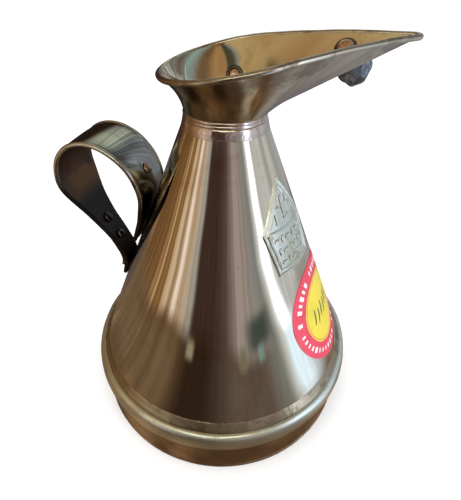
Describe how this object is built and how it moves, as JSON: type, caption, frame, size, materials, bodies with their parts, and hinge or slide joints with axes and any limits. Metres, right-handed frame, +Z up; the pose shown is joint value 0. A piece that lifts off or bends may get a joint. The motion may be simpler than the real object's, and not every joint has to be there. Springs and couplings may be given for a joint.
{
  "type": "conical liquid measure",
  "caption": "Sheet-brass conical liquid measure with a hooped foot, a narrow collared neck, a flared funnel mouth with a pointed pouring beak, a lead seal and a riveted strap handle.",
  "frame": {"origin": "centre of the footprint's bounding box, on the floor that the foot stands on; the cone's own axis is the vertical line x = 2.06 mm, y = 0", "axes": "+Z up, +X the way the pouring beak points, the handle near -X, +Y to the left when looking along +X"},
  "size_m": [0.1302, 0.126, 0.1603],
  "materials": {
    "brass": "polished, worn, with brown tarnish and fine wiping marks",
    "pale_brass": "rubbed bright on the raised edges",
    "dark_brass": "polished over a dark bronze-brown tarnish",
    "solder": "rough, dull, coppery braze and solder",
    "lead": "matt, hammered lead",
    "copper": "dull coppery",
    "label_red": "printed paper, slightly glossy",
    "label_yellow": "printed paper, slightly glossy"
  },
  "bodies": {
    "root": {"foot_ring": "dark_brass", "base_hoop": "pale_brass", "bottom_pan": "brass", "base_solder": "solder", "cone_body": "brass", "neck_solder": "solder", "neck_collar": "solder", "funnel_spout": "brass", "rim_wire": "pale_brass", "lead_seal": "lead", "seal_eyelet": "copper", "gauge_stud": "copper", "stud_washer": "dark_brass", "handle_strap": "dark_brass", "handle_bead_near": "pale_brass", "handle_bead_far": "pale_brass", "lower_stay": "dark_brass", "upper_stay": "dark_brass", "lower_rivet_1": "brass", "lower_rivet_2": "brass", "upper_rivet": "brass", "capacity_plate": "pale_brass", "label_ring": "label_red", "label_disc": "label_yellow"}
  },
  "joints": []
}
